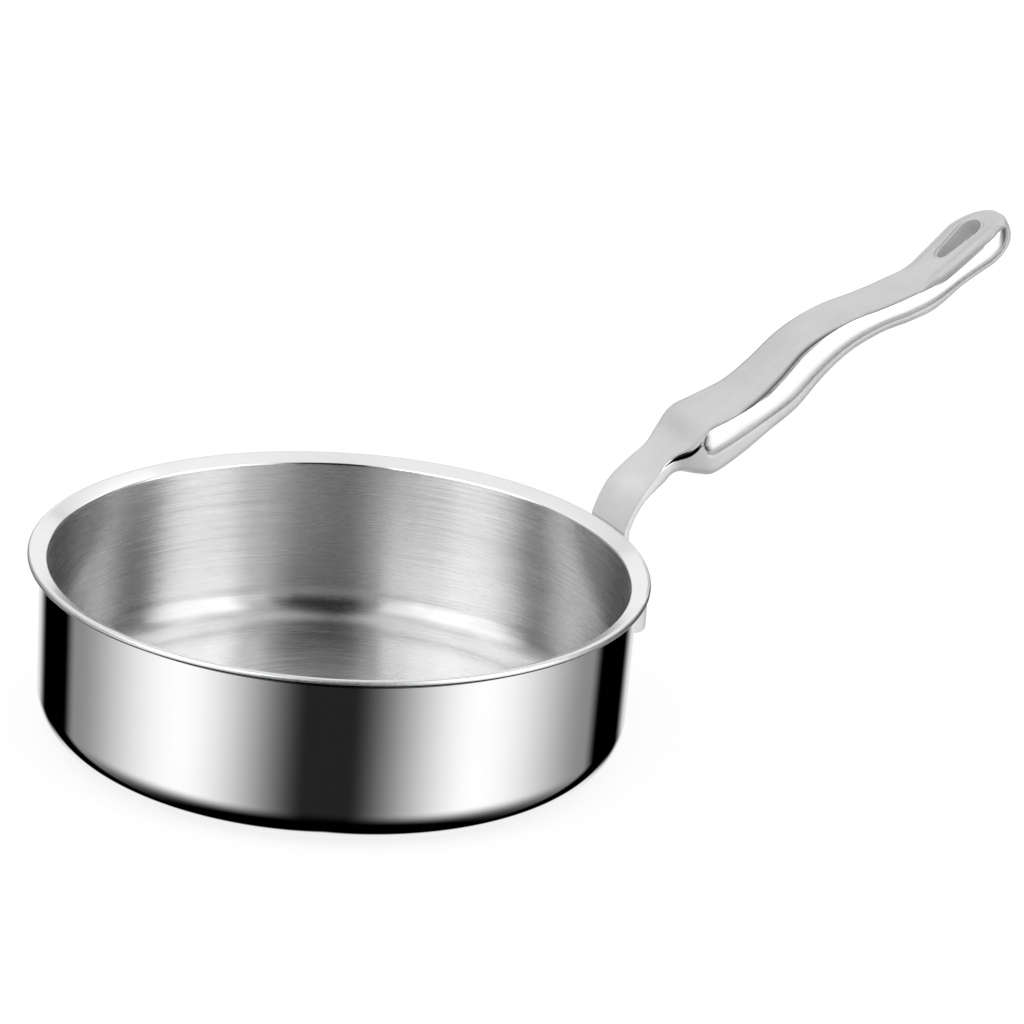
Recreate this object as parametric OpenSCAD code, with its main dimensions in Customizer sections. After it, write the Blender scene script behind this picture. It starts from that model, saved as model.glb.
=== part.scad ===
// Deep frying pan with a straight, slightly leaning wall, a flared pouring lip and a long wavy hollow handle.
// The origin is the centre of the flat underside, +Z is up and the handle points along +X. Lengths are millimetres.

/* [Pan] */
// Outer diameter of the flared rim
rim_d = 256; // [200:1:320]
// Width of the lip, from the inside of the wall to the rim's edge
lip_w = 8; // [6:0.5:14]
// How much further out the wall stands at its top than at the base
wall_flare = 1.5; // [0.5:0.1:6]
// Height from the base to the top of the rim
pan_h = 76; // [64:1:120]
// Outside radius of the corner between base and wall
corner_r = 17.5; // [8:0.5:24]
// Slope of the lip above the horizontal, in degrees
lip_slope = 25; // [10:1:45]
// Radius under the bend where the wall turns into the lip
lip_bend_r = 1.5; // [0.5:0.1:2.5]

/* [Clad sheet] */
// Thickness of the stainless cooking skin
inner_t = 0.5; // [0.3:0.1:1]
// Thickness of the aluminium core
core_t = 1.9; // [1:0.1:2.4]
// Thickness of the magnetic stainless outer skin
outer_t = 0.6; // [0.4:0.1:1]

/* [Handle] */
// Reach of the handle from its neck to its tip, measured level
handle_run = 184; // [120:1:240]
// Rise of the handle from the rim to its tip
handle_rise = 118; // [60:1:150]
// Width of the neck where it passes the rim
root_w = 26.5; // [18:0.5:34]
// Width of the neck at its narrowest
neck_w = 21; // [14:0.5:26]
// Width of the shoulder that stops the thumb
shoulder_w = 32; // [24:0.5:40]
// Width of the grip
grip_w = 24; // [18:0.5:32]
// Width of the rounded end
end_w = 28; // [20:0.5:36]
// Thickness of the neck beside the rim
neck_t = 3.6; // [3.2:0.1:6]
// Thickness of the grip at its belly
belly_t = 20; // [15:0.5:24]
// Thickness of the grip at its waist
waist_t = 12.4; // [10:0.2:16]
// Thickness of the rounded end
end_t = 14.4; // [11:0.2:18]
// Thickness of the cover that closes the hollow grip
cover_t = 1.4; // [1:0.1:2]
// Thickness of the walls of the hollow grip
grip_wall = 1.8; // [1.2:0.1:2.6]
// How far the polished roll along each side of the grip stands out beyond its lines
roll_d = 0.9; // [0.3:0.1:1.5]
// Height of the crown across the top of the grip
crown_h = 0.8; // [0.2:0.1:1.5]
// Radius along the lower edges of the grip
low_r = 4.6; // [2:0.2:5]

/* [Hanging hole] */
// Length of the hanging hole
hang_l = 24; // [18:0.5:30]
// Width of the hanging hole at its wide end
hang_w = 11; // [8:0.5:13]
// Width of the hanging hole at its narrow end
hang_narrow_w = 6.5; // [5:0.5:8]
// Thickness of the sleeve that lines the hanging hole
sleeve_t = 1.1; // [0.8:0.1:1.6]

/* [Foot] */
// Width of the foot along the wall
foot_w = 54; // [40:1:70]
// Height of the foot
foot_h = 24; // [18:1:30]
// Thickness of the foot outside the neck
foot_front = 4.3; // [3:0.1:8]
// Distance from the rim down to the top of the foot
foot_drop = 16.5; // [12:0.5:24]
// Radius on the outer corners of the foot
foot_r = 5; // [2:0.5:6]
// Depth of the socket in the foot that holds the neck
socket_d = 9; // [5:0.5:14]
// Leg of the weld beads round the foot and the neck
weld_leg = 1.6; // [1:0.1:3]

/* [Hidden] */
$fn = 96;
overrun = 1;

// Clad wall: every ply is an offset of the middle of the sheet, counted outwards
wall_t = inner_t + core_t + outer_t;
rim_r = rim_d / 2;
wall_top_r = rim_r - lip_w + wall_t;
wall_foot_r = wall_top_r - wall_flare;
lean = atan(wall_flare / pan_h);
wall_dir = [sin(lean), cos(lean)];
wall_out = [cos(lean), -sin(lean)];
lip_dir = [cos(lip_slope), sin(lip_slope)];
lip_out = [sin(lip_slope), -cos(lip_slope)];
mid_start = [wall_foot_r - wall_t / 2, 0];
lip_end = [rim_r - wall_t / 2, pan_h - wall_t / 2];
corner_mid_r = corner_r - wall_t / 2;
corner_c = [mid_start[0] + corner_r * tan(lean) - corner_mid_r / cos(lean), corner_r];
bend_mid_r = lip_bend_r + wall_t / 2;
bend_run = (bend_mid_r - (mid_start - lip_end) * lip_out - bend_mid_r * (wall_out * lip_out))
    / (wall_dir * lip_out);
bend_c = mid_start + bend_run * wall_dir + bend_mid_r * wall_out;
corner_steps = 14;
bend_steps = 8;
cap_steps = 4;

function polar(a) = [cos(a), sin(a)];
function reversed(list) = [for (i = [len(list) - 1 : -1 : 0]) list[i]];
function wall_r(z) = wall_foot_r + z * tan(lean);

// The sheet's outline at one offset, from the axis out along the floor and up to the lip
function ply_line(s) = concat(
    [[0, wall_t / 2 - s]],
    [for (i = [0 : corner_steps])
        corner_c + (corner_mid_r + s) * polar(-90 + (90 - lean) * i / corner_steps)],
    [for (i = [0 : bend_steps])
        bend_c - (bend_mid_r - s) * polar(-lean - (90 - lip_slope - lean) * i / bend_steps)]);

// The rounded edge of the lip between two offsets
function lip_cap(s0, s1) = [for (i = [0 : cap_steps])
    let (s = s0 + (s1 - s0) * i / cap_steps)
    lip_end + s * lip_out + sqrt(max(0, pow(wall_t / 2, 2) - s * s)) * lip_dir];

module ply(s0, s1) {
    rotate_extrude($fn = 180)
        polygon(concat(ply_line(s0), lip_cap(s0, s1), reversed(ply_line(s1))));
}

module wall_cone() {
    cylinder(r1 = wall_foot_r, r2 = wall_top_r, h = pan_h, $fn = 180);
}

// Handle: stations along the top of the handle, each with the tilt, depth and width of its section
lip_gap = 0.4;
neck_x = rim_r + lip_gap;
foot_top = pan_h - foot_drop;
tenon_z = foot_top - socket_d;
tip_slope = 31;
tip_run = 0.7 * end_w;
tip_steps = 8;
tip_turn = 84;
tip_drop = 2.6;
station_steps = 3;

// Shares of the run and of the rise, then the tilt of each section
path_share = [
    [0, 0, 84],
    [0.015, 0.06, 68],
    [0.04, 0.125, 55],
    [0.08, 0.19, 44],
    [0.12, 0.247, 34],
    [0.16, 0.296, 24],
    [0.2, 0.355, 15],
    [0.26, 0.39, 20],
    [0.33, 0.44, 29],
    [0.39, 0.51, 35],
    [0.45, 0.595, 39],
    [0.51, 0.65, 30],
    [0.58, 0.692, 20],
    [0.66, 0.72, 17],
    [0.73, 0.75, 17],
    [0.79, 0.785, 27],
    [0.85, 0.85, 36],
    [0.92, 0.935, 32]];

// Depth and width of the section, the share of the crown and of the roll, and then, as shares of the depth,
// how far the crease above the roll lies below the top and the line under it above the bottom
section_sizes = [
    [neck_t, root_w, 0, 0.03, 0.5],
    [neck_t, root_w, 0, 0.03, 0.5],
    [neck_t * 1.15, root_w, 0, 0.03, 0.5],
    [neck_t * 1.9, (root_w + neck_w) / 2, 0, 0.03, 0.5],
    [neck_t * 2.6, neck_w, 0.1, 0.03, 0.5],
    [belly_t * 0.78, (neck_w + 2 * shoulder_w) / 3, 0.3, 0.03, 0.5],
    [belly_t * 1.09, shoulder_w, 0.8, 0.02, 0.48],
    [belly_t, shoulder_w, 1, 0.035, 0.475],
    [belly_t * 0.93, (shoulder_w + grip_w) / 2, 1, 0.13, 0.41],
    [belly_t, (shoulder_w + 3 * grip_w) / 4, 1, 0.13, 0.345],
    [belly_t * 0.98, grip_w, 1, 0.13, 0.3],
    [(2 * belly_t + waist_t) / 3, grip_w, 1, 0.1, 0.315],
    [(belly_t + 2 * waist_t) / 3, grip_w, 1, 0.055, 0.35],
    [waist_t, grip_w, 1, 0.03, 0.395],
    [waist_t * 1.04, grip_w, 1, 0.03, 0.39],
    [waist_t * 1.08, grip_w, 1, 0.04, 0.4],
    [waist_t, (grip_w + end_w) / 2, 1, 0.04, 0.33],
    [end_t, end_w, 0.9, 0.035, 0.27]];

main_stations = [for (i = [0 : len(path_share) - 1])
    [neck_x + path_share[i][0] * handle_run, pan_h + path_share[i][1] * handle_rise,
     path_share[i][2], each section_sizes[i]]];
last_main = main_stations[len(main_stations) - 1];

function blend4(a, b, c, d, t) = b + (c - a) * t / 2
    + (2 * a - 5 * b + 4 * c - d) * t * t / 2 + (3 * b - a - 3 * c + d) * t * t * t / 2;

function smooth(list, steps) = concat(
    [for (i = [0 : len(list) - 2], k = [0 : steps - 1])
        blend4(list[max(0, i - 1)], list[i], list[i + 1], list[min(len(list) - 1, i + 2)], k / steps)],
    [list[len(list) - 1]]);

// The rounded end narrows and thins like the end of a spoon handle
function tip_station(a) = [
    last_main[0] + tip_run * sin(a) * cos(tip_slope) + tip_drop * (1 - cos(a)) * sin(tip_slope),
    last_main[1] + tip_run * sin(a) * sin(tip_slope) - tip_drop * (1 - cos(a)) * cos(tip_slope),
    last_main[2] + (tip_slope - last_main[2]) * sin(a),
    end_t - 2 * tip_drop * (1 - cos(a)),
    end_w * cos(a),
    last_main[5] * (1 - sin(a)),
    last_main[6],
    last_main[7]];

path_stations = smooth(main_stations, station_steps);
tip_stations = [for (i = [1 : tip_steps]) tip_station(tip_turn * i / tip_steps)];
root_stations = [for (z = [tenon_z, foot_top]) [neck_x, z, 90, each section_sizes[0]]];
stations = concat(root_stations, path_stations, tip_stations);
hollow_from = 6 * station_steps;
hollow_to = len(path_stations) - 1;

// Sections: across is Y and depth counts down from the edge of the top face
crown_steps = 6;
roll_steps = 8;
low_steps = 4;
edge_r = 0.9;
crease_least = 0.4;
roll_least = 0.8;
line_w = 0.8;
strip_least = 0.1;

function crown_at(share, y, half) = share * crown_h * (1 - y * y / (half * half));
function seam_at(depth) = min(cover_t, depth * 0.4);

function top_line(half, share, depth, down) = [for (i = [0 : crown_steps])
    let (y = half * (1 - 2 * i / crown_steps)) [y, down - crown_at(share, y, half)]];

function low_at(depth, half) = min(low_r, 0.6 * (depth - seam_at(depth)), half * 0.6);
function top_at(depth, groove) = max(seam_at(depth) + crease_least, groove * depth);
function bottom_at(depth, groove, strip) = max(top_at(depth, groove) + roll_least, (1 - strip) * depth);

// How far a rounded edge has drawn in, this far from its end
function edge_fall(r, left) = left < r ? r - sqrt(r * r - (r - left) * (r - left)) : 0;

// Half the width at one depth: the roll bulges between its crease and its line
function side_at(s, d) =
    let (
        half = s[4] / 2,
        top = top_at(s[3], s[6]),
        bottom = bottom_at(s[3], s[6], s[7]),
        across = (2 * d - top - bottom) / (bottom - top),
        inset = across <= 1 ? pow(abs(across), 3) : max(0, 1 - (d - bottom) / line_w))
    half - edge_fall(low_at(s[3], half), s[3] - d) - s[5] * roll_d * inset;

// One side of the body, from its crease down to the flat underside
function side_line(s) =
    let (
        depth = s[3],
        top = top_at(depth, s[6]),
        bottom = bottom_at(depth, s[6], s[7]),
        under = min(bottom + line_w, depth - strip_least),
        turn = max(under, depth - low_at(depth, s[4] / 2)))
    [for (d = concat(
        [for (i = [0 : roll_steps]) (top + bottom) / 2 - (bottom - top) / 2 * cos(180 * i / roll_steps)],
        [under],
        [for (i = [1 : low_steps]) turn + (depth - turn) * sin(90 * i / low_steps)]))
        [side_at(s, d), d]];

function mirrored(line) = [for (p = reversed(line)) [-p[0], p[1]]];

function body_loop(s) =
    let (half = s[4] / 2, side = side_line(s))
    concat(reversed(top_line(half, s[5], s[3], seam_at(s[3]))), side, mirrored(side));

function cover_loop(s) =
    let (half = s[4] / 2, seam = seam_at(s[3]), r = min(edge_r, seam * 0.6, half * 0.3))
    concat(
        reversed(top_line(half, s[5], s[3], seam)),
        [[half, r], [half - r * (1 - cos(45)), r * (1 - sin(45))]],
        top_line(half - r, s[5] * (1 - pow(r / half, 2)), s[3], 0),
        [[-half + r * (1 - cos(45)), r * (1 - sin(45))], [-half, r]]);

function placed(s, loop) = [for (p = loop)
    [s[0] + p[1] * sin(s[2]), p[0], s[1] - p[1] * cos(s[2])]];

module sweep(rings) {
    m = len(rings[0]);
    n = len(rings);
    points = [for (ring = rings) each ring];
    sides = [for (i = [0 : n - 2], j = [0 : m - 1])
        let (a = i * m + j, b = i * m + (j + 1) % m, c = a + m, d = b + m)
        each [[a, b, d], [a, d, c]]];
    first = [for (j = [m - 1 : -1 : 0]) j];
    last = [for (j = [0 : m - 1]) (n - 1) * m + j];
    polyhedron(points, concat(sides, [first, last]), convexity = 6);
}

// Hollow of the grip: the outline of its long section, between the cover and the floor
corner_share = 0.35;
cavity_w = grip_w - 2 * (grip_wall + max(roll_d, corner_share * low_r));

function below(s, depth) = [s[0] + depth * sin(s[2]), s[1] - depth * cos(s[2])];

module cavity() {
    reach = [for (i = [hollow_from : hollow_to]) path_stations[i]];
    roof = [for (s = reach) below(s, -overrun)];
    floor_line = [for (s = reach) below(s, s[3] - grip_wall)];
    translate([0, cavity_w / 2, 0])
        rotate([90, 0, 0])
            linear_extrude(height = cavity_w)
                polygon(concat(roof, reversed(floor_line)));
}

// Hanging hole: a tapered slot square to the top face near the tip
hang_slope = 37;
hang_big_r = hang_w / 2;
hang_small_r = hang_narrow_w / 2;
hang_pitch = hang_l - hang_big_r - hang_small_r;
hang_run_share = 0.9;
hang_rise_share = 0.909;
hang_at = [neck_x + hang_run_share * handle_run, 0, pan_h + hang_rise_share * handle_rise];

hang_depth = (waist_t + end_t) / 2;
sleeve_lip = 0.3;
hang_steps = 20;

// Two round ends joined by straight sides, the wide end towards the tip
module hang_outline(grow) {
    big = hang_big_r + grow;
    small = hang_small_r + grow;
    a = acos((big - small) / hang_pitch);
    polygon(concat(
        [for (i = [0 : hang_steps]) [hang_pitch / 2, 0] + big * polar((180 - a) * (2 * i / hang_steps - 1))],
        [for (i = [0 : hang_steps]) [-hang_pitch / 2, 0] + small * polar(180 - a + 2 * a * i / hang_steps)]));
}

module hang_prism(grow, up, down) {
    translate(hang_at)
        rotate([0, -hang_slope, 0])
            translate([0, 0, -down])
                linear_extrude(height = up + down)
                    hang_outline(grow);
}

module outer_ply() {
    color("gainsboro") ply(wall_t / 2 - outer_t, wall_t / 2);
}

module core_ply() {
    color("silver") ply(inner_t - wall_t / 2, wall_t / 2 - outer_t);
}

module inner_ply() {
    color("lightgray") ply(-wall_t / 2, inner_t - wall_t / 2);
}

foot_x = neck_x + neck_t + foot_front;
fit = 0.15;

module foot_plan() {
    far = foot_x - foot_r;
    translate([0, -foot_w / 2]) square([far, foot_w]);
    translate([0, foot_r - foot_w / 2]) square([foot_x, foot_w - 2 * foot_r]);
    for (side = [-1, 1])
        translate([far, side * (foot_w / 2 - foot_r)]) circle(r = foot_r);
}

module foot_side() {
    far = foot_x - foot_r;
    square([far, foot_h]);
    translate([0, foot_r]) square([foot_x, foot_h - 2 * foot_r]);
    for (z = [foot_r, foot_h - foot_r])
        translate([far, z]) circle(r = foot_r);
}

module mounting_foot() {
    color("darkgray")
    difference() {
        intersection() {
            translate([0, 0, foot_top - foot_h])
                linear_extrude(height = foot_h)
                    foot_plan();
            translate([0, foot_w / 2, foot_top - foot_h])
                rotate([90, 0, 0])
                    linear_extrude(height = foot_w)
                        foot_side();
        }
        wall_cone();
        translate([neck_x - fit, -root_w / 2 - fit, tenon_z])
            cube([neck_t + 2 * fit, root_w + 2 * fit, socket_d + overrun]);
    }
}

// Beads along the top and the bottom of the foot, laid in the corner against the wall
module wall_bead(z, leg_z) {
    half_span = asin((foot_w / 2 - foot_r) / wall_r(z));
    rotate([0, 0, -half_span])
        rotate_extrude(angle = 2 * half_span, $fn = 180)
            polygon([
                [wall_r(z), z],
                [wall_r(z) + weld_leg, z],
                [wall_r(z + leg_z), z + leg_z]]);
}

module foot_weld() {
    color("darkgray") {
        wall_bead(foot_top, weld_leg);
        wall_bead(foot_top - foot_h, -weld_leg);
    }
}

// Beads across the front and the back of the neck, on top of the foot
module neck_weld() {
    color("darkgray") {
        for (end = [[neck_x + neck_t, 1], [neck_x, -1]])
            translate([end[0], root_w / 2, foot_top])
                rotate([90, 0, 0])
                    linear_extrude(height = root_w)
                        polygon([[0, 0], [end[1] * weld_leg, 0], [0, weld_leg]]);
    }
}

module handle_body() {
    color("silver")
    difference() {
        sweep([for (s = stations) placed(s, body_loop(s))]);
        cavity();
        hang_prism(sleeve_t, end_t, 2 * end_t);
    }
}

module handle_cover() {
    color("gainsboro")
    difference() {
        sweep([for (s = stations) placed(s, cover_loop(s))]);
        hang_prism(sleeve_t, end_t, 2 * end_t);
    }
}

module hang_sleeve() {
    color("whitesmoke")
    difference() {
        hang_prism(sleeve_t, sleeve_lip, hang_depth + sleeve_lip);
        hang_prism(0, sleeve_lip + overrun, hang_depth + sleeve_lip + overrun);
    }
}

outer_ply();
core_ply();
inner_ply();
mounting_foot();
foot_weld();
neck_weld();
handle_body();
handle_cover();
hang_sleeve();
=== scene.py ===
import math

import bmesh
import bpy
from mathutils import Matrix, Vector


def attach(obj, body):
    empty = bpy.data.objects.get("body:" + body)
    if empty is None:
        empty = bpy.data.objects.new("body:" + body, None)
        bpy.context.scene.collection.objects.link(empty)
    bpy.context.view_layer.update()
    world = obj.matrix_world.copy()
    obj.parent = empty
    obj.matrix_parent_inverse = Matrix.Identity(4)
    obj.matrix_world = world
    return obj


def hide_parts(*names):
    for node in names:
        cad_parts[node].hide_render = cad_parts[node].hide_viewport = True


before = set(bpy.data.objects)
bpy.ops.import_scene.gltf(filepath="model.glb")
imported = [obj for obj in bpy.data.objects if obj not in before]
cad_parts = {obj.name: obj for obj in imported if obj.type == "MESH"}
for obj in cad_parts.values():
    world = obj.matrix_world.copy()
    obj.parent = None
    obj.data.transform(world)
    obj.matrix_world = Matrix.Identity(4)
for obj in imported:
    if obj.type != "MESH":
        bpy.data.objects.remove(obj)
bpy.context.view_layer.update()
mm = 0.001
seamGap = 1e-6  # points closer than this are one


def deselectAll():
    if bpy.context.object and bpy.context.object.mode != "OBJECT":
        bpy.ops.object.mode_set(mode="OBJECT")
    bpy.ops.object.select_all(action="DESELECT")


def makeActive(piece):
    deselectAll()
    piece.select_set(True)
    bpy.context.view_layer.objects.active = piece


def applyModifiers(piece):
    makeActive(piece)
    for modifier in list(piece.modifiers):
        bpy.ops.object.modifier_apply(modifier=modifier.name)


def cleanMesh(piece):  # closes the seams and turns the faces outwards
    makeActive(piece)
    bpy.ops.object.mode_set(mode="EDIT")
    bpy.ops.mesh.select_all(action="SELECT")
    bpy.ops.mesh.remove_doubles(threshold=seamGap)
    bpy.ops.mesh.normals_make_consistent(inside=False)
    bpy.ops.object.mode_set(mode="OBJECT")


def smoothPiece(piece, angle):
    makeActive(piece)
    bpy.ops.object.shade_smooth_by_angle(angle=math.radians(angle))


def cutAway(piece, cutter):
    cut = piece.modifiers.new("cut", "BOOLEAN")
    cut.operation = "DIFFERENCE"
    cut.solver = "EXACT"
    cut.object = cutter
    applyModifiers(piece)


def putIn(piece, material, slot, *nodes):
    piece.data.materials.clear()
    piece.data.materials.append(material)
    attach(piece, "root")
    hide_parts(*nodes)
    places = [v.co / mm for v in piece.data.vertices]
    low, high = ([round(pick(place[k] for place in places), 2) for k in range(3)] for pick in (min, max))
    print(piece.name, len(piece.data.polygons), "faces, from", low, "to", high)


def arc(centre, radius, first, last, steps):  # points on an arc, angles in degrees
    return [(centre[0] + radius * math.cos(math.radians(first + (last - first) * i / steps)),
             centre[1] + radius * math.sin(math.radians(first + (last - first) * i / steps)))
            for i in range(steps + 1)]


def drawProfile(name, points):  # one vertex drawn out point by point in the XZ plane
    deselectAll()
    bpy.ops.mesh.primitive_plane_add(size=mm)
    piece = bpy.context.object
    piece.name = name
    bpy.ops.object.mode_set(mode="EDIT")
    bpy.ops.mesh.select_mode(type="VERT")
    bpy.ops.mesh.select_all(action="SELECT")
    bpy.ops.mesh.merge(type="CENTER")
    here = Vector((points[0][0], 0, points[0][1]))
    bpy.ops.transform.translate(value=here)
    for x, z in points[1:]:
        there = Vector((x, 0, z))
        bpy.ops.mesh.extrude_vertices_move(TRANSFORM_OT_translate={"value": there - here})
        here = there
    return piece


def spinProfile(name, points, steps):  # the profile turned once round the pan's axis
    piece = drawProfile(name, points)
    bpy.ops.mesh.select_all(action="SELECT")
    bpy.ops.mesh.spin(steps=steps, angle=2 * math.pi, center=(0, 0, 0), axis=(0, 0, 1))
    cleanMesh(piece)
    return piece


def drawRings(name, rings, marks=None):  # one closed outline drawn out ring by ring
    count = len(rings[0])
    deselectAll()
    bpy.ops.mesh.primitive_circle_add(vertices=count, radius=mm)
    piece = bpy.context.object
    piece.name = name
    bpy.ops.object.mode_set(mode="EDIT")
    bpy.ops.mesh.select_all(action="SELECT")
    mesh = bmesh.from_edit_mesh(piece.data)
    order = mesh.verts.layers.int.new("order")
    # each vertex mark holds the finish above 0 and a painted shade below 0
    polishAndShade = mesh.verts.layers.float.new("polishAndShade")
    for i, v in enumerate(mesh.verts):
        v[order] = i
        v.co = rings[0][i]
        v[polishAndShade] = marks[0][i] if marks else 0
    bmesh.update_edit_mesh(piece.data)
    bpy.ops.mesh.edge_face_add()
    for n, ring in enumerate(rings[1:]):
        bpy.ops.mesh.extrude_region_move(TRANSFORM_OT_translate={"value": (0, 0, 0)})
        mesh = bmesh.from_edit_mesh(piece.data)
        order = mesh.verts.layers.int["order"]
        polishAndShade = mesh.verts.layers.float["polishAndShade"]
        for v in mesh.verts:
            if v.select:
                v.co = ring[v[order]]
                v[polishAndShade] = marks[n + 1][v[order]] if marks else 0
        bmesh.update_edit_mesh(piece.data)
    cleanMesh(piece)
    return piece


def newMaterial(name, metal=0):
    material = bpy.data.materials.new(name)
    material.use_nodes = True
    tree = material.node_tree
    shader = tree.nodes["Principled BSDF"]
    shader.inputs["Metallic"].default_value = metal
    return material, tree, shader


def feed(tree, value, socket):  # a socket is linked, a number is set
    if isinstance(value, (int, float)):
        socket.default_value = value
    else:
        tree.links.new(value, socket)


def mathNode(tree, operation, first, second=None):
    node = tree.nodes.new("ShaderNodeMath")
    node.operation = operation
    feed(tree, first, node.inputs[0])
    if second is not None:
        feed(tree, second, node.inputs[1])
    return node.outputs[0]


def multiply(tree, first, second):
    return mathNode(tree, "MULTIPLY", first, second)


def rest(tree, amount):  # what is left of 1
    return mathNode(tree, "SUBTRACT", 1, amount)


def blendValues(tree, amount, first, second):
    return mathNode(tree, "ADD", multiply(tree, rest(tree, amount), first), multiply(tree, amount, second))


def rangeNode(tree, value, fromLow, fromHigh, toLow, toHigh, smooth=False):
    node = tree.nodes.new("ShaderNodeMapRange")
    node.interpolation_type = "SMOOTHSTEP" if smooth else "LINEAR"
    tree.links.new(value, node.inputs["Value"])
    for key, number in zip(("From Min", "From Max", "To Min", "To Max"), (fromLow, fromHigh, toLow, toHigh)):
        node.inputs[key].default_value = number
    return node.outputs["Result"]


def objectPlace(tree):
    source = tree.nodes.new("ShaderNodeTexCoord")
    mapping = tree.nodes.new("ShaderNodeMapping")
    tree.links.new(source.outputs["Object"], mapping.inputs["Vector"])
    return mapping.outputs["Vector"]


def splitPlace(tree, vector):
    node = tree.nodes.new("ShaderNodeSeparateXYZ")
    tree.links.new(vector, node.inputs[0])
    return node.outputs[0], node.outputs[1], node.outputs[2]


def joinPlace(tree, x, y, z):
    node = tree.nodes.new("ShaderNodeCombineXYZ")
    for slot, value in enumerate((x, y, z)):
        feed(tree, value, node.inputs[slot])
    return node.outputs[0]


def roundPlace(tree, x, y):  # the direction from the pan's axis, and the distance to it
    radius = mathNode(tree, "SQRT", mathNode(tree, "ADD", multiply(tree, x, x), multiply(tree, y, y)))
    return mathNode(tree, "DIVIDE", x, radius), mathNode(tree, "DIVIDE", y, radius), radius


def noiseNode(tree, vector, scale, detail=2.0, rough=0.5):
    node = tree.nodes.new("ShaderNodeTexNoise")
    tree.links.new(vector, node.inputs["Vector"])
    node.inputs["Scale"].default_value = scale
    node.inputs["Detail"].default_value = detail
    node.inputs["Roughness"].default_value = rough
    return node.outputs["Fac"]


def mixNode(tree, amount, first, second):  # each of the two is a socket, a colour or a grey level
    node = tree.nodes.new("ShaderNodeMix")
    node.data_type = "RGBA"
    tree.links.new(amount, node.inputs["Factor"])
    for key, value in (("A", first), ("B", second)):
        if isinstance(value, (int, float)):
            value = (value, value, value)
        if isinstance(value, tuple):
            node.inputs[key].default_value = (*value, 1)
        else:
            tree.links.new(value, node.inputs[key])
    return node.outputs["Result"]


def scaleNode(tree, colour, factor):
    node = tree.nodes.new("ShaderNodeVectorMath")
    node.operation = "SCALE"
    tree.links.new(colour, node.inputs[0])
    tree.links.new(factor, node.inputs["Scale"])
    return node.outputs[0]


def bumpNode(tree, shader, height, strength, distance):
    node = tree.nodes.new("ShaderNodeBump")
    node.inputs["Strength"].default_value = strength
    node.inputs["Distance"].default_value = distance
    tree.links.new(height, node.inputs["Height"])
    tree.links.new(node.outputs["Normal"], shader.inputs["Normal"])


mirrorLook = {"low": (0.80, 0.80, 0.81), "high": (0.85, 0.85, 0.855), "rough": (0.023, 0.055), "fine": 1600, "cloud": 28,
              "bump": 0.012}


def makeMirrorSteel():  # buffed outside: a clear mirror with the faintest rub marks round the wall
    look = mirrorLook
    material, tree, shader = newMaterial("mirrorSteel", 1)
    place = objectPlace(tree)
    x, y, z = splitPlace(tree, place)
    roundX, roundY, radius = roundPlace(tree, x, y)
    rub = noiseNode(tree, joinPlace(tree, roundX, roundY, multiply(tree, z, look["fine"])), 1.5, 3)
    cloud = noiseNode(tree, place, look["cloud"], 3)
    tree.links.new(mixNode(tree, cloud, look["low"], look["high"]), shader.inputs["Base Color"])
    tree.links.new(rangeNode(tree, rub, 0.3, 0.7, *look["rough"]), shader.inputs["Roughness"])
    bumpNode(tree, shader, rub, look["bump"], 0.1 * mm)
    return material


satinLook = {"low": (0.66, 0.66, 0.66), "high": (0.76, 0.76, 0.76), "rough": (0.2, 0.31), "fine": 1500, "long": 420,
             "bump": 0.1, "stretch": 1.0, "lip": (0.9, 0.9, 0.905), "lipRough": 0.16, "lipRange": (72.4 * mm, 73 * mm),
             "cornerRise": (4.5 * mm, 7.8 * mm), "cornerFall": (9.8 * mm, 13.5 * mm), "cornerPaintedShade": 0.34}


def makeSatinSteel():  # inside: fine brushing that runs round the wall and the floor, and a buffed lip
    look = satinLook
    material, tree, shader = newMaterial("satinSteel", 1)
    place = objectPlace(tree)
    x, y, z = splitPlace(tree, place)
    roundX, roundY, radius = roundPlace(tree, x, y)
    across = mathNode(tree, "SUBTRACT", z, radius)
    fine = noiseNode(tree, joinPlace(tree, roundX, roundY, multiply(tree, across, look["fine"])), 3, 4, 0.6)
    long = noiseNode(tree, joinPlace(tree, roundX, roundY, multiply(tree, across, look["long"])), 1.3, 3, 0.6)
    lines = mathNode(tree, "ADD", multiply(tree, fine, 0.6), multiply(tree, long, 0.4))
    brushed = mixNode(tree, rangeNode(tree, lines, 0.36, 0.64, 0, 1), look["low"], look["high"])
    # painted shade in the rounded corner: the base colour is darkened there so that its highlight is dimmer
    corner = multiply(tree, rangeNode(tree, z, *look["cornerRise"], 0, 1, True),
                      rangeNode(tree, z, *look["cornerFall"], 1, 0, True))
    brushed = scaleNode(tree, brushed, rest(tree, multiply(tree, corner, look["cornerPaintedShade"])))
    lip = rangeNode(tree, z, *look["lipRange"], 0, 1, True)
    tree.links.new(mixNode(tree, lip, brushed, look["lip"]), shader.inputs["Base Color"])
    rough = rangeNode(tree, lines, 0.3, 0.7, *look["rough"])
    tree.links.new(blendValues(tree, lip, rough, look["lipRough"]), shader.inputs["Roughness"])
    shader.inputs["Anisotropic"].default_value = look["stretch"]
    shader.inputs["Anisotropic Rotation"].default_value = 0.25
    tangent = tree.nodes.new("ShaderNodeTangent")
    tangent.direction_type = "RADIAL"
    tangent.axis = "Z"
    tree.links.new(tangent.outputs["Tangent"], shader.inputs["Tangent"])
    bumpNode(tree, shader, multiply(tree, lines, rest(tree, lip)), look["bump"], 0.08 * mm)
    return material


castLook = {"low": (0.54, 0.54, 0.545), "high": (0.64, 0.64, 0.645), "rough": (0.44, 0.54), "metal": 0.35, "bump": 0.22,
            "grain": 1500, "cloud": 60, "shine": (0.88, 0.88, 0.885), "shineRough": 0.25, "clearRough": 0.05,
            "crease": 0.85, "shadeColour": 0.03, "neck": (128 * mm, 165 * mm), "neckPaintedLight": 1.27}


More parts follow.
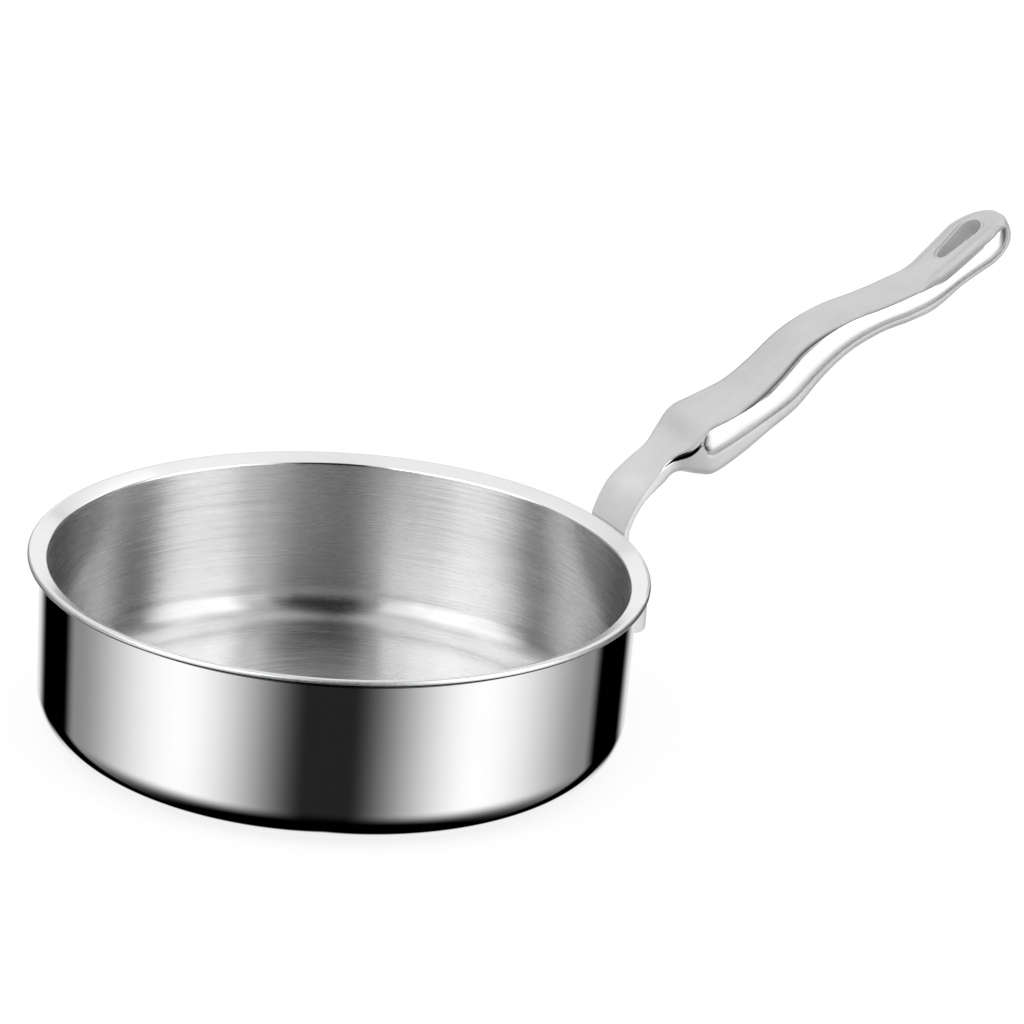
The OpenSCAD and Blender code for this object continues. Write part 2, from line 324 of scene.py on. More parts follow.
def makeCastSteel():  # handle and foot: blasted, buffed where the mark is 1, clearer up to 2, and a painted shade below 0 that is darkest at -1 in the creases
    look = castLook
    material, tree, shader = newMaterial("castSteel")
    place = objectPlace(tree)
    grain = noiseNode(tree, place, look["grain"], 2, 0.7)
    cloud = noiseNode(tree, place, look["cloud"], 3)
    polishAndShade = tree.nodes.new("ShaderNodeAttribute")
    polishAndShade.attribute_name = "polishAndShade"
    mark = polishAndShade.outputs["Fac"]
    shine = rangeNode(tree, mark, 0.1, 0.9, 0, 1, True)
    both = mathNode(tree, "ADD", multiply(tree, grain, 0.55), multiply(tree, cloud, 0.45))
    blasted = mixNode(tree, rangeNode(tree, both, 0.35, 0.65, 0, 1), look["low"], look["high"])
    along = splitPlace(tree, place)[0]  # painted light: the neck's colour is raised, so it looks lighter than the grip
    blasted = scaleNode(tree, blasted, rangeNode(tree, along, *look["neck"], look["neckPaintedLight"], 1, True))
    metal = mixNode(tree, shine, blasted, look["shine"])
    # painted shade: below 0 the mark darkens the colour towards near black in the creases, along the line under the
    # roll, on the rounded top edges and near the tip
    paintedShade = rangeNode(tree, mark, -1, 0, look["crease"], 0)
    tree.links.new(mixNode(tree, paintedShade, metal, look["shadeColour"]), shader.inputs["Base Color"])
    tree.links.new(rangeNode(tree, shine, 0, 1, look["metal"], 1), shader.inputs["Metallic"])
    rough = rangeNode(tree, both, 0.3, 0.7, *look["rough"])
    buffed = rangeNode(tree, mark, 1, 2, look["shineRough"], look["clearRough"])
    tree.links.new(blendValues(tree, shine, rough, buffed), shader.inputs["Roughness"])
    bumpNode(tree, shader, multiply(tree, grain, rest(tree, shine)), look["bump"], 0.1 * mm)
    return material


def makePlainMetal(name, low, high, rough, grainScale):
    material, tree, shader = newMaterial(name, 1)
    grain = noiseNode(tree, objectPlace(tree), grainScale, 3, 0.6)
    tree.links.new(mixNode(tree, rangeNode(tree, grain, 0.35, 0.65, 0, 1), low, high), shader.inputs["Base Color"])
    tree.links.new(rangeNode(tree, grain, 0.3, 0.7, *rough), shader.inputs["Roughness"])
    bumpNode(tree, shader, grain, 0.15, 0.08 * mm)
    return material


mirrorSteel = makeMirrorSteel()
satinSteel = makeSatinSteel()
castSteel = makeCastSteel()
coreMetal = makePlainMetal("rolledAluminium", (0.70, 0.71, 0.72), (0.80, 0.81, 0.82), (0.3, 0.41), 900)
weldMetal = makePlainMetal("dressedWeld", (0.50, 0.50, 0.51), (0.64, 0.64, 0.64), (0.33, 0.44), 700)
print("finishes made")


camera = {"place": (-1.0621, -1.8621, 0.9204), "turn": (69.11, 4.21, -31.54), "lens": 197.23}

lens = bpy.data.cameras.new("studioCamera")
lens.lens = camera["lens"]
lens.sensor_width = 36
lens.clip_start = 0.05
lens.clip_end = 50
viewer = bpy.data.objects.new("studioCamera", lens)
bpy.context.scene.collection.objects.link(viewer)
tilt, roll, heading = (math.radians(a) for a in camera["turn"])
viewer.matrix_world = (Matrix.Translation(camera["place"]) @ Matrix.Rotation(heading, 4, "Z")
                       @ Matrix.Rotation(tilt, 4, "X") @ Matrix.Rotation(roll, 4, "Z"))
bpy.context.scene.camera = viewer


# the pan: three plies that share one profile
pan = {"rimRadius": 128 * mm, "height": 76 * mm, "lipWidth": 8 * mm, "flare": 1.5 * mm, "corner": 17.5 * mm,
       "lipSlope": 25, "bend": 0.5 * mm, "bendSpread": 0.25, "inner": 0.5 * mm, "core": 1.9 * mm, "outer": 0.6 * mm,
       "steps": 240, "cornerSteps": 28, "bendSteps": 12, "floorRings": (0, 50 * mm, 100 * mm), "guard": 0.6 * mm}
pan["sheet"] = pan["inner"] + pan["core"] + pan["outer"]
pan["topRadius"] = pan["rimRadius"] - pan["lipWidth"] + pan["sheet"]
pan["footRadius"] = pan["topRadius"] - pan["flare"]
pan["lean"] = math.atan(pan["flare"] / pan["height"])


def wallRadius(z):
    return pan["footRadius"] + z * math.tan(pan["lean"])


def lipPlace():  # the middle of the lip's rounded end, the way along the lip, and the way down through it
    slope = math.radians(pan["lipSlope"])
    end = Vector((pan["rimRadius"] - pan["sheet"] / 2, pan["height"] - pan["sheet"] / 2))
    return end, Vector((math.cos(slope), math.sin(slope))), Vector((math.sin(slope), -math.cos(slope)))


def plyLine(offset):  # from the axis out along the floor, up the wall and round the bend
    half, lean = pan["sheet"] / 2, pan["lean"]
    start = Vector((pan["footRadius"] - half, 0))
    wallDir, wallOut = Vector((math.sin(lean), math.cos(lean))), Vector((math.cos(lean), -math.sin(lean)))
    lipEnd, _, lipOut = lipPlace()
    cornerMid = pan["corner"] - half
    cornerAt = (start[0] + pan["corner"] * math.tan(lean) - cornerMid / math.cos(lean), pan["corner"])
    # each face has its own radius at the bend, so that the inner one stays sharp
    radius = pan["bend"] + pan["bendSpread"] * (half - offset)
    bendMid = radius + offset
    run = (bendMid - (start - lipEnd).dot(lipOut) - bendMid * wallOut.dot(lipOut)) / wallDir.dot(lipOut)
    bendAt = start + run * wallDir + bendMid * wallOut
    corner = arc(cornerAt, cornerMid + offset, -90, -math.degrees(lean), pan["cornerSteps"])
    bend = arc(bendAt, radius, 180 - math.degrees(lean), 90 + pan["lipSlope"], pan["bendSteps"])
    # support rings keep the long faces flat up to the curves
    line = [(r, half - offset) for r in (*pan["floorRings"], corner[0][0] - pan["guard"])] + corner
    low, high = Vector(corner[-1]), Vector(bend[0])
    near = pan["guard"] * (high - low).normalized()
    return line + [tuple(low + near), tuple(low.lerp(high, 0.5)), tuple(high - near)] + bend


def lipCap(first, last, count):  # the rounded edge of the lip between two offsets
    half = pan["sheet"] / 2
    lipEnd, lipDir, lipOut = lipPlace()
    low, high = (math.asin(max(-1, min(1, side / half))) for side in (first, last))
    turns = [low + (high - low) * i / count for i in range(count + 1)]
    return [tuple(lipEnd + half * math.sin(a) * lipOut + half * math.cos(a) * lipDir) for a in turns]


def makePly(name, first, last, capSteps):
    inner, outer = plyLine(first), plyLine(last)
    return spinProfile(name, outer + lipCap(last, first, capSteps) + list(reversed(inner)), pan["steps"])


half = pan["sheet"] / 2
outerShell = makePly("outerShell", half - pan["outer"], half, 10)
coreShell = makePly("coreShell", pan["inner"] - half, half - pan["outer"], 8)
innerShell = makePly("innerShell", -half, pan["inner"] - half, 10)
for shell in (outerShell, coreShell, innerShell):
    smoothPiece(shell, 40)
putIn(outerShell, mirrorSteel, "polished_steel", "outer_ply")
putIn(coreShell, coreMetal, "core_aluminium", "core_ply")
putIn(innerShell, satinSteel, "satin_steel", "inner_ply")
print("pan made")


# the handle: a hollow body and its cover, drawn out along one path
handle = {"run": 184 * mm, "rise": 118 * mm, "rootWidth": 26.5 * mm, "neckWidth": 21 * mm, "shoulderWidth": 32 * mm,
          "gripWidth": 24 * mm, "endWidth": 28 * mm, "neckDepth": 3.6 * mm, "belly": 20 * mm, "waist": 12.4 * mm,
          "end": 14.4 * mm, "cover": 1.4 * mm, "crown": 0.8 * mm, "lowRadius": 4.6 * mm, "edge": 0.5 * mm,
          "lipGap": 0.4 * mm, "lens": 0.7 * mm, "thinnest": 0.02 * mm, "fineness": 16, "topSteps": 16,
          "edgeShade": 0.35, "edgePeak": 0.4, "smooth": 66,
          # the crease above the roll, and the line below it, both with a painted shade
          "crease": 0.55 * mm, "creaseShare": 0.2, "groove": 0.5 * mm, "grooveShare": 0.4, "shelf": 0.6 * mm,
          "wideCrease": 0.45, "lineDepth": 0.9 * mm, "lineWidth": 0.8 * mm, "lineShade": 0.7, "lineSpread": 1.5,
          "shineEnd": 0.35, "shineLoss": 0.85,
          # the roll's round ends: in millimetres at the neck, in degrees round the tip
          "noseFrom": 162 * mm, "noseLength": 4 * mm, "endFrom": 22, "endLength": 26, "endReach": 7 * mm, "endLift": 0.3,
          # from the grip to the tip the edge gets rounder, and the crease becomes a soft valley with a gentler painted
          # shade
          "softFrom": 268 * mm, "softLength": 12 * mm, "tipEdge": 3.4 * mm, "tipValley": 1.9 * mm,
          "topShade": 0.25, "topFade": 3.5 * mm,
          # the round tip
          "tipReach": 0.7, "tipSteps": 40, "tipSlope": 31, "tipTurn": 88, "tipDrop": 2.6 * mm, "tipUnder": 5 * mm,
          "tipOver": 3 * mm}
handle["startX"] = pan["rimRadius"] + handle["lipGap"]

# shares of the run and the rise, and the tilt of the section
pathShares = [(0, 0, 84), (0.015, 0.06, 68), (0.04, 0.125, 55), (0.08, 0.19, 44), (0.12, 0.247, 34), (0.16, 0.296, 24),
              (0.2, 0.355, 15), (0.26, 0.39, 20), (0.33, 0.44, 29), (0.39, 0.51, 35), (0.45, 0.595, 39),
              (0.51, 0.65, 30), (0.58, 0.692, 20), (0.66, 0.72, 17), (0.73, 0.75, 17), (0.79, 0.785, 27),
              (0.85, 0.85, 36), (0.92, 0.935, 32)]


# depth, width and crown, then as shares of the depth: crease above the roll, strip under it, top and bottom of the lens
def sectionTable():
    h = handle
    neck, belly, waist, end = h["neckDepth"], h["belly"], h["waist"], h["end"]
    root, thin, shoulder, grip, tip = h["rootWidth"], h["neckWidth"], h["shoulderWidth"], h["gripWidth"], h["endWidth"]
    return [(neck, root, 0, 0.03, 0.5, 0.1, 0), (neck, root, 0, 0.03, 0.5, 0.1, 0),
            (neck * 1.15, root, 0, 0.03, 0.5, 0.1, 0), (neck * 1.9, (root + thin) / 2, 0, 0.03, 0.5, 0.08, 0.02),
            (neck * 2.6, thin, 0.1, 0.03, 0.5, 0.05, 0.27),
            (belly * 0.78, (thin + 2 * shoulder) / 3, 0.3, 0.03, 0.5, 0.11, 0.27),
            (belly * 1.09, shoulder, 0.8, 0.02, 0.48, 0.09, 0.12), (belly, shoulder, 1, 0.035, 0.475, 0, 0),
            (belly * 0.93, (shoulder + grip) / 2, 1, 0.13, 0.41, 0, 0),
            (belly, (shoulder + 3 * grip) / 4, 1, 0.13, 0.345, 0, 0), (belly * 0.98, grip, 1, 0.13, 0.3, 0, 0),
            ((2 * belly + waist) / 3, grip, 1, 0.1, 0.315, 0, 0), ((belly + 2 * waist) / 3, grip, 1, 0.055, 0.35, 0, 0),
            (waist, grip, 1, 0.03, 0.395, 0, 0), (waist * 1.04, grip, 1, 0.03, 0.39, 0, 0),
            (waist * 1.08, grip, 1, 0.04, 0.4, 0, 0), (waist, (grip + tip) / 2, 1, 0.04, 0.33, 0, 0),
            (end, tip, 0.9, 0.035, 0.27, 0, 0)]


def between(a, b, c, d, t):  # a smooth curve through b and c
    return tuple(q + (r - p) * t / 2 + (2 * p - 5 * q + 4 * r - s) * t * t / 2 + (3 * q - p - 3 * r + s) * t ** 3 / 2
                 for p, q, r, s in zip(a, b, c, d))


def edgeFall(radius, left):  # how far a rounded edge has dropped, this far from its end
    return radius - math.sqrt(max(0, radius ** 2 - (radius - left) ** 2)) if left < radius else 0


def clamp(value):
    return max(0, min(1, value))


def ease(value):  # 0 to 1 with soft ends
    return value * value * (3 - 2 * value)


def handleStations():  # one dictionary for each section along the handle
    h = handle
    main = [(h["startX"] + x * h["run"], pan["height"] + z * h["rise"], turn, *size)
            for (x, z, turn), size in zip(pathShares, sectionTable())]
    last = len(main) - 1
    found = []
    for i in range(last):
        ends = main[max(0, i - 1)], main[i], main[i + 1], main[min(last, i + 2)]
        found += [sectionFacts(*between(*ends, k / h["fineness"])) for k in range(h["fineness"])]
    found.append(sectionFacts(*main[last]))
    x, z, turn, _, _, crown, crease, strip, _, _ = main[last]
    slope = math.radians(h["tipSlope"])
    for i in range(1, h["tipSteps"] + 1):
        a = math.radians(h["tipTurn"]) * i / h["tipSteps"]
        full = h["tipReach"] * h["endWidth"]
        run, left = full * math.sin(a), full * (1 - math.sin(a))
        drop, over = h["tipDrop"] * (1 - math.cos(a)), edgeFall(h["tipOver"], left)
        down = drop + over
        found.append(sectionFacts(x + run * math.cos(slope) + down * math.sin(slope),
                                  z + run * math.sin(slope) - down * math.cos(slope),
                                  turn + (h["tipSlope"] - turn) * math.sin(a),
                                  h["end"] - 2 * drop - over - edgeFall(h["tipUnder"], left),
                                  h["endWidth"] * math.cos(a), crown * (1 - math.sin(a)), crease, strip, 0, 0,
                                  math.degrees(a)))
    return found


def sectionFacts(x, z, turn, depth, width, crown, creaseDepth, strip, lensTop, lensBottom, tip=None):
    h = handle
    half = width / 2
    soft = clamp((x - h["softFrom"]) / h["softLength"])
    edge = h["edge"] + (h["tipEdge"] - h["edge"]) * ease(soft)
    crease = max(creaseDepth * depth, h["crease"], min(h["crease"] + h["tipValley"] * soft, h["creaseShare"] * depth))
    line = max(crease + mm, depth * (1 - strip))
    reach = (line - crease) / 2
    # the roll has round ends: along counts from 0 on its straight part to 1 at its end
    if tip is None:
        along = max(0, (h["noseFrom"] + h["noseLength"] - x) / h["noseLength"])
        middle, endLength = crease + reach, h["noseLength"]
    else:
        along = max(0, (tip - h["endFrom"]) / h["endLength"])
        middle, endLength = crease + reach * (1 - h["endLift"] * min(1, along)), h["endReach"]
    opened = math.sqrt(max(0, 1 - along * along))
    top, bottom = middle - reach * opened, middle + reach * opened
    lens = along >= 1 and lensBottom > lensTop
    if lens:
        top, bottom = lensTop * depth, lensBottom * depth
    return {"x": x, "z": z, "turn": math.radians(turn), "depth": depth, "half": half, "crown": crown * h["crown"],
            "edge": min(edge, 0.5 * half, 0.4 * depth), "low": min(h["lowRadius"], 0.55 * depth, 0.6 * half),
            "seam": min(h["cover"], 0.4 * depth), "soft": soft, "along": along, "lens": lens, "middle": middle,
            "reach": reach, "top": top, "bottom": bottom, "shelf": max(crease, h["shelf"]),
            "groove": h["groove"] + h["grooveShare"] * max(0, creaseDepth * depth - h["crease"]),
            "lineEnd": h["lineSpread"] * h["lineWidth"] / endLength}


def sideAt(f, d):  # half the width at one depth, and its mark: 2 clear, 1 buffed, 0 blasted, below 0 a painted shade that is darkest at -1, deep in a crease
    y = f["half"] - edgeFall(f["edge"], d) - edgeFall(f["low"], f["depth"] - d)
    if f["lens"]:
        share = (d - f["top"]) / (f["bottom"] - f["top"])
        hollow = 27 / 4 * share * (1 - share) ** 2  # deepest at a third of the way down, where it is 1
        return (y - handle["lens"] * hollow, 2) if 0 <= share <= 1 else (y, 0)
    across = (d - f["middle"]) / f["reach"]
    deep = f["groove"] if across < 0 else handle["lineDepth"]
    w = math.hypot(across, f["along"])
    if w <= 1:  # on the roll, and its shine fades into the line below it
        low = clamp((across - handle["shineEnd"]) / (1 - handle["shineEnd"]))
        return y - deep * w ** 3, 1 - handle["shineLoss"] * ease(low)
    if f["along"] >= 1:  # past the round end the line fades out lengthways, and its painted shade with it
        out = clamp(1 - (w - 1) / f["lineEnd"])
        return y - deep * out, -out
    # the line under the roll gets a painted shade
    if across >= 0:
        out = clamp(1 - (d - f["bottom"]) / handle["lineWidth"])
        return y - deep * out, -handle["lineShade"] * out
    # above the roll the crease gets a painted shade, deepest at its bottom
    out = clamp(1 - (f["top"] - d) / f["shelf"])
    wide = clamp((f["shelf"] - mm) / mm)  # a wide crease gets a painted shade from edge to edge
    hard, gentle = min(1, out ** 0.4 + handle["wideCrease"] * wide), (out + out ** 4) / 2
    return y - deep * out, -((1 - f["soft"]) * hard + f["soft"] * gentle)


def steps(first, last, count, soft=False):  # even steps, or closer together at both ends
    shares = [i / count for i in range(1, count + 1)]
    if soft:
        shares = [(1 - math.cos(math.pi * share)) / 2 for share in shares]
    return [first + (last - first) * share for share in shares]


def topPoints(f, half, down):  # near the tip the top gets a painted shade that deepens softly towards the crease
    points, count = [], handle["topSteps"]
    for y in [half * (1 - 2 * i / count) for i in range(1, count)]:
        near = max(0, 1 - (half - abs(y)) / handle["topFade"]) * f["soft"] * max(0, 1 - f["along"])
        points.append((y, down - f["crown"] * (1 - (y / f["half"]) ** 2), -handle["topShade"] * near))
    return points


def sidePoints(f, depths):
    points = []
    peak = handle["edgePeak"]
    for d in depths:
        y, mark = sideAt(f, d)
        # a painted dark line along each rounded top edge, deepest partway round it and fading out towards the tip
        rim = max(0, 1 - abs(d / f["edge"] - peak) / (1 - peak)) * (1 - f["soft"])
        points.append((max(handle["thinnest"], y), d, mark if mark > 0 else min(mark, -handle["edgeShade"] * rim)))
    return points


def coverOutline(f):  # the underside, up one rounded edge, over the crowned top and down the other
    seam = f["seam"]
    rim = min(f["edge"], seam)
    crease = min(seam, max(rim, f["top"]))
    depths = [rim * 1e-4] + [d * d / rim for d in steps(0, rim, 6)] + steps(rim, crease, 3) + steps(crease, seam, 4)
    side = sidePoints(f, depths)
    top, under = topPoints(f, side[0][0], 0), topPoints(f, side[-1][0], seam)
    return list(reversed(under)) + list(reversed(side)) + top + [(-y, d, mark) for y, d, mark in side]


def bodyOutline(f):  # the top under the cover, down one side and up the other
    first, last = f["seam"], f["depth"]
    top, bottom = max(first, f["top"]), max(first, f["bottom"])
    under = min(bottom + handle["lineWidth"], last - handle["thinnest"])
    turn = max(under, last - f["low"])
    depths = [first] + steps(first, max(first, top - 0.2 * mm), 4) + [top] + steps(top, bottom, 22, True)
    depths += steps(bottom, under, 4) + steps(under, turn, 3)
    depths += [turn + (last - turn) * math.sin(math.radians(9 * i)) for i in range(1, 11)]
    side = sidePoints(f, depths)
    lid = topPoints(f, side[0][0], first)
    return list(reversed(lid)) + side + [(-y, d, mark) for y, d, mark in reversed(side)]


def placeSection(f, outline):  # (across, depth) to the handle's own place
    return [(f["x"] + d * math.sin(f["turn"]), y, f["z"] - d * math.cos(f["turn"])) for y, d, mark in outline]


# the neck stands in a socket in the foot: straight sections below the curve of the handle
foot = {"top": 59.5 * mm, "socket": 9 * mm, "rootAbove": 8 * mm, "width": 54 * mm, "height": 24 * mm,
        "front": 4.3 * mm, "near": 112 * mm, "corner": 5 * mm, "weld": 1.6 * mm, "hollow": 0.42}
rootShape = handle["neckDepth"], handle["rootWidth"], 0, 0.03, 0.5, 0, 0
stations = [sectionFacts(handle["startX"], foot["top"] + up, 90, *rootShape)
            for up in (-foot["socket"], 0, foot["rootAbove"])] + handleStations()

hole = {"length": 24 * mm, "wide": 11 * mm, "narrow": 6.5 * mm, "sleeve": 1.1 * mm, "lip": 0.3 * mm, "round": 0.22 * mm,
        "slope": 37, "runShare": 0.9, "riseShare": 0.909, "steps": 40, "cutDown": 30 * mm, "cutUp": 15 * mm}
hole["depth"] = (handle["waist"] + handle["end"]) / 2
holeAt = Vector((handle["startX"] + hole["runShare"] * handle["run"], 0,
                 pan["height"] + hole["riseShare"] * handle["rise"]))
holeTurn = Matrix.Rotation(math.radians(-hole["slope"]), 4, "Y")


def holeOutline(grow, height):
    big, small = hole["wide"] / 2 + grow, hole["narrow"] / 2 + grow
    pitch = hole["length"] - hole["wide"] / 2 - hole["narrow"] / 2
    a = math.degrees(math.acos((big - small) / pitch))
    flat = arc((pitch / 2, 0), big, a - 180, 180 - a, hole["steps"])
    flat += arc((-pitch / 2, 0), small, 180 - a, 180 + a, hole["steps"])
    return [tuple(holeAt + holeTurn @ Vector((x, y, height))) for x, y in flat]


def makeCutter(name, grow):
    return drawRings(name, [holeOutline(grow, -hole["cutDown"]), holeOutline(grow, hole["cutUp"])])


def makeShell(name, outlineOf, cutter):
    outlines = [outlineOf(s) for s in stations]
    rings = [placeSection(s, outline) for s, outline in zip(stations, outlines)]
    piece = drawRings(name, rings, [[mark for _, _, mark in outline] for outline in outlines])
    cutAway(piece, cutter)
    smoothPiece(piece, handle["smooth"])
    return piece


cutter = makeCutter("holeCutter", hole["sleeve"])
body = makeShell("handleBody", bodyOutline, cutter)
cover = makeShell("handleCover", coverOutline, cutter)
putIn(body, castSteel, "cast_steel", "handle_body")
putIn(cover, castSteel, "cover_steel", "handle_cover")
bpy.data.objects.remove(cutter)

ends = -hole["depth"] - hole["lip"], hole["lip"]
sleeve = drawRings("holeSleeve", [holeOutline(hole["sleeve"], height) for height in ends])
bore = makeCutter("bore", 0)
cutAway(sleeve, bore)
bpy.data.objects.remove(bore)
edges = sleeve.modifiers.new("edges", "BEVEL")
edges.width = hole["round"]
edges.segments = 3
edges.angle_limit = math.radians(60)
edges.limit_method = "ANGLE"
applyModifiers(sleeve)
smoothPiece(sleeve, 40)
putIn(sleeve, castSteel, "cover_steel", "hang_sleeve")
print("handle made")


footFar = handle["startX"] + handle["neckDepth"] + foot["front"]
deselectAll()
bpy.ops.mesh.primitive_cube_add(size=1, location=((footFar + foot["near"]) / 2, 0, foot["top"] - foot["height"] / 2))
block = bpy.context.object
block.name = "mountingFoot"
bpy.ops.object.mode_set(mode="EDIT")
bpy.ops.mesh.select_all(action="SELECT")
bpy.ops.transform.resize(value=(footFar - foot["near"], foot["width"], foot["height"]))
bpy.ops.object.mode_set(mode="OBJECT")
bpy.ops.object.transform_apply(location=True, rotation=True, scale=True)
bpy.ops.object.mode_set(mode="EDIT")
bpy.ops.mesh.select_mode(type="EDGE")
bpy.ops.mesh.select_all(action="DESELECT")
mesh = bmesh.from_edit_mesh(block.data)
for edge in mesh.edges:
    edge.select = all(v.co.x > footFar - mm for v in edge.verts)
bmesh.update_edit_mesh(block.data)
bpy.ops.mesh.bevel(offset=foot["corner"], segments=8, affect="EDGES")
bpy.ops.object.mode_set(mode="OBJECT")

deselectAll()
bpy.ops.mesh.primitive_cone_add(vertices=360, radius1=wallRadius(0), radius2=wallRadius(pan["height"]),
                                depth=pan["height"], location=(0, 0, pan["height"] / 2))
wall = bpy.context.object
bpy.ops.object.transform_apply(location=True, rotation=True, scale=True)
cutAway(block, wall)
bpy.data.objects.remove(wall)
smoothPiece(block, 40)
putIn(block, castSteel, "cast_steel", "mounting_foot")


def wallBead(name, z, leg):  # a small fillet turned along the wall
    span = math.asin((foot["width"] / 2 - foot["corner"]) / wallRadius(z))
    out, middle = abs(leg), foot["hollow"]
    fillet = [(wallRadius(z), z), (wallRadius(z) + out, z), (wallRadius(z) + middle * out, z + middle * leg),
              (wallRadius(z + leg), z + leg)]
    bead = drawProfile(name, fillet + [fillet[0]])
    bpy.ops.mesh.select_all(action="SELECT")
    bpy.ops.transform.rotate(value=-span, orient_axis="Z", center_override=(0, 0, 0))
    bpy.ops.mesh.spin(steps=24, angle=2 * span, center=(0, 0, 0), axis=(0, 0, 1))
    bpy.ops.mesh.select_all(action="SELECT")
    bpy.ops.mesh.remove_doubles(threshold=seamGap)
    bpy.ops.mesh.fill_holes(sides=0)
    bpy.ops.mesh.normals_make_consistent(inside=False)
    bpy.ops.object.mode_set(mode="OBJECT")
    return bead


def neckBead(name, x, side):  # a straight fillet along the neck, on one of its two faces
    leg, middle, wide = foot["weld"], foot["hollow"], handle["rootWidth"] / 2
    outline = [(x, 0), (x + side * leg, 0), (x + side * middle * leg, middle * leg), (x, leg)]
    return drawRings(name, [[(a, y, foot["top"] + up) for a, up in outline] for y in (-wide, wide)])


def joinPieces(first, *others):
    deselectAll()
    for piece in (first, *others):
        piece.select_set(True)
    bpy.context.view_layer.objects.active = first
    bpy.ops.object.join()
    return first


footWeld = joinPieces(wallBead("footWeld", foot["top"], foot["weld"]),
                      wallBead("footWeldLow", foot["top"] - foot["height"], -foot["weld"]))
neckWeld = joinPieces(neckBead("neckWeld", handle["startX"] + handle["neckDepth"], 1),
                      neckBead("neckWeldBack", handle["startX"], -1))
for bead, node in ((footWeld, "foot_weld"), (neckWeld, "neck_weld")):
    smoothPiece(bead, 50)
    putIn(bead, weldMetal, "weld_steel", node)
print("foot and welds made")


floorLook = {"size": 12, "drop": 0.2 * mm, "paper": (0.9, 0.9, 0.9, 1), "glow": 1.03, "glowShare": 0.8}


def makeFloor():  # paper that takes the pan's shadow, and looks white to the camera
    deselectAll()
    bpy.ops.mesh.primitive_plane_add(size=floorLook["size"], location=(0, 0, -floorLook["drop"]))
    floor = bpy.context.object
    floor.name = "studioFloor"
    floor.visible_glossy = False
    paper, tree, shader = newMaterial("floorPaper")
    tree.nodes.remove(shader)
    plain = tree.nodes.new("ShaderNodeBsdfDiffuse")
    plain.inputs["Color"].default_value = floorLook["paper"]
    glow = tree.nodes.new("ShaderNodeEmission")
    glow.inputs["Strength"].default_value = floorLook["glow"]
    both = tree.nodes.new("ShaderNodeMixShader")
    rays = tree.nodes.new("ShaderNodeLightPath")
    tree.links.new(multiply(tree, rays.outputs["Is Camera Ray"], floorLook["glowShare"]), both.inputs[0])
    tree.links.new(plain.outputs[0], both.inputs[1])
    tree.links.new(glow.outputs[0], both.inputs[2])
    tree.links.new(both.outputs[0], tree.nodes["Material Output"].inputs["Surface"])
    floor.data.materials.append(paper)


# white screens and dark gaps stand round the pan in four bands, one above the other: degrees to the right of the
# camera's side, then brightness; the lowest band is the same to the left
tent = {"cameraSide": -119.7, "edge": 1.5,
        "low": [(8, 0.02), (60, 1.2), (118, 0.3), (127, 0.0), (150, 0.0), (165, 0.8), (180, 0.9)],
        "high": [(-180, 0.95), (-150, 0.4), (-105, 0.46), (-90, 0.3), (-75, 1.45), (-45, 1.65), (-30, 0.1), (-20, 0.0),
                 (20, 0.7), (30, 1.3), (45, 2.05), (75, 1.6), (90, 0.42), (105, 0.1), (150, 0.95)],
        "upper": [(-180, 0.8), (-150, 1.0), (-105, 0.67), (-90, 2.9), (-60, 3.4), (-45, 2.9), (-30, 2.6), (-20, 0.5),
                  (-10, 0.0), (30, 1.16), (45, 3.2), (60, 2.9), (90, 0.4), (120, 1.35), (150, 0.8)],
        "top": [(-180, 0.92), (-105, 0.35), (-90, 0.9), (-75, 1.3), (-60, 0.9), (-20, 0.0), (30, 0.7), (60, 1.25),
                (75, 0.63), (90, 0.25), (105, 0.84), (120, 1.05), (150, 0.92)],
        # ranges over which one part gives way to the next: heights are the sine of the angle above the horizon
        "toHigh": (-0.26, -0.1), "toUpper": (0.43, 0.47), "toTop": (0.78, 0.82), "well": (-0.9, -0.46),
        "backWidth": 1.25, "backSides": (0.08, 0.26), "backTop": (-0.6, -0.45),
        "slitFoot": (-0.35, -0.31), "slitTop": (-0.06, 0.02), "slitSides": (-0.86, -0.78), "slitDark": 0.95}


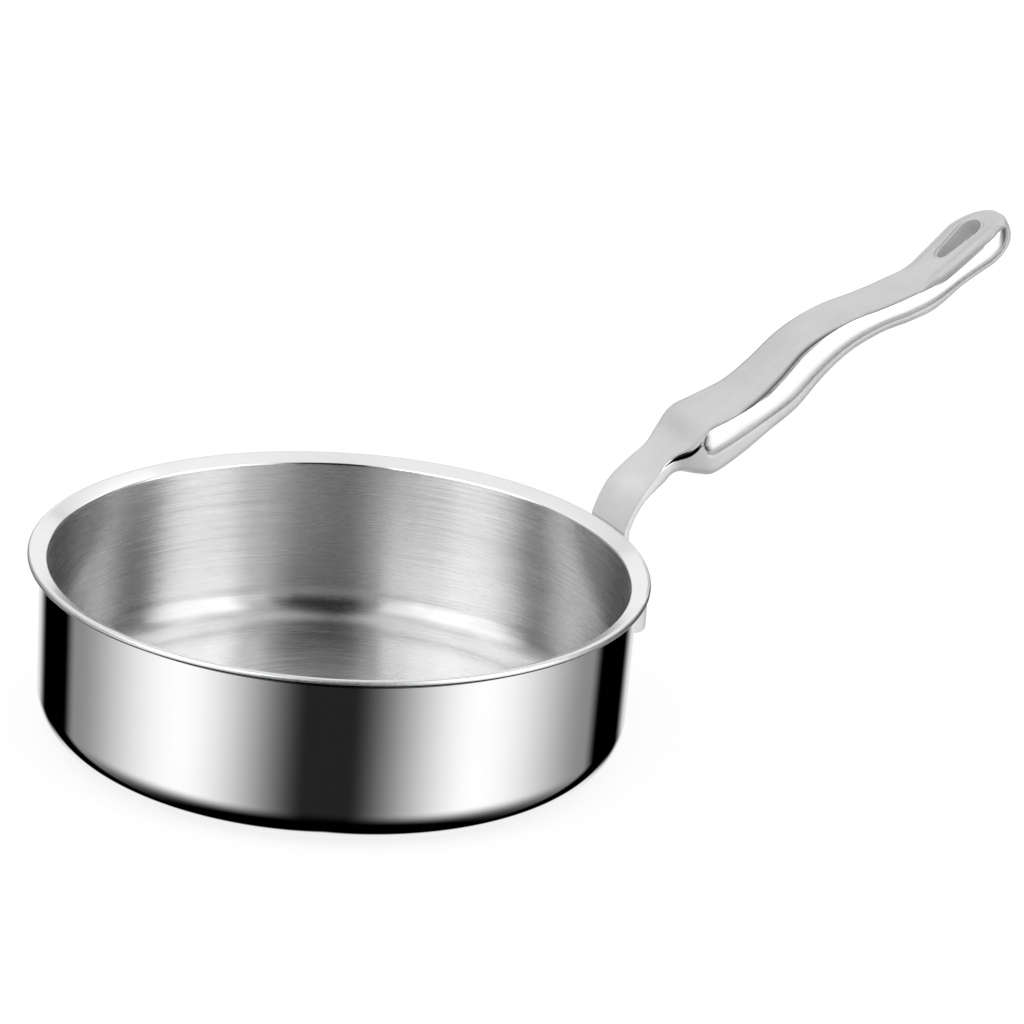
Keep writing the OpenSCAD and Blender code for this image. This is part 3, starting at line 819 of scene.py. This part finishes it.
def makeTent():
    world = bpy.data.worlds.new("lightTent")
    bpy.context.scene.world = world
    world.use_nodes = True
    tree = world.node_tree
    background = tree.nodes["Background"]
    source = tree.nodes.new("ShaderNodeTexCoord")
    turn = tree.nodes.new("ShaderNodeVectorRotate")
    turn.rotation_type = "Z_AXIS"
    turn.inputs["Angle"].default_value = math.radians(-tent["cameraSide"])
    tree.links.new(source.outputs["Generated"], turn.inputs["Vector"])
    forward, side, up = splitPlace(tree, turn.outputs[0])
    angle = rangeNode(tree, mathNode(tree, "ARCTAN2", side, forward), -math.pi, math.pi, 0, 1)

    def screens(stops, edge=0):  # the levels blend, or with an edge each one holds up to the next stop
        ramp = tree.nodes.new("ShaderNodeValToRGB")
        tree.links.new(angle, ramp.inputs[0])
        bar = ramp.color_ramp
        bar.interpolation = "LINEAR" if edge else "EASE"
        while len(bar.elements) > 1:
            bar.elements.remove(bar.elements[-1])
        bar.elements[0].position = stops[0][0] / 360 + 0.5
        bar.elements[0].color = (*[stops[0][1]] * 3, 1)
        before = stops[0][1]
        for degrees, level in stops[1:]:
            for shift, shade in ((-edge, before), (edge, level)) if edge else ((0, level),):
                stop = bar.elements.new((degrees + shift) / 360 + 0.5)
                stop.color = (shade, shade, shade, 1)
            before = level
        return ramp.outputs[0]

    low = screens([(-degrees, level) for degrees, level in reversed(tent["low"])] + tent["low"])
    high, upper, top = (screens(tent[band], tent["edge"]) for band in ("high", "upper", "top"))

    def fade(value, ends, first=0, last=1):
        return rangeNode(tree, value, *ends, first, last, True)

    ring = mixNode(tree, fade(up, tent["well"]), 0.0, low)  # the dark well under the pan
    # a white card low behind the pan
    narrow = multiply(tree, mathNode(tree, "ABSOLUTE", side), tent["backWidth"])
    back = mathNode(tree, "SUBTRACT", multiply(tree, forward, -1), narrow)
    behind = multiply(tree, fade(back, tent["backSides"]), fade(up, tent["backTop"], 1, 0))
    ring = mixNode(tree, behind, ring, 1.0)
    for band, ends in ((high, tent["toHigh"]), (upper, tent["toUpper"]), (top, tent["toTop"])):
        ring = mixNode(tree, fade(up, ends), ring, band)
    # a dark slit behind the pan draws the thin line round its far edges
    slit = multiply(tree, fade(up, tent["slitFoot"]), fade(up, tent["slitTop"], 1, 0))
    slit = multiply(tree, slit, fade(forward, tent["slitSides"], tent["slitDark"], 0))
    ring = mixNode(tree, slit, ring, 0.0)
    # the camera and plain surfaces see an even white
    rays = tree.nodes.new("ShaderNodeLightPath")
    plain = mathNode(tree, "MAXIMUM", rays.outputs["Is Camera Ray"], rays.outputs["Is Diffuse Ray"])
    tree.links.new(mixNode(tree, plain, ring, 1.0), background.inputs["Color"])
    background.inputs["Strength"].default_value = 1


makeFloor()
makeTent()
bpy.context.scene.view_settings.view_transform = "Standard"
print("floor and light tent made")
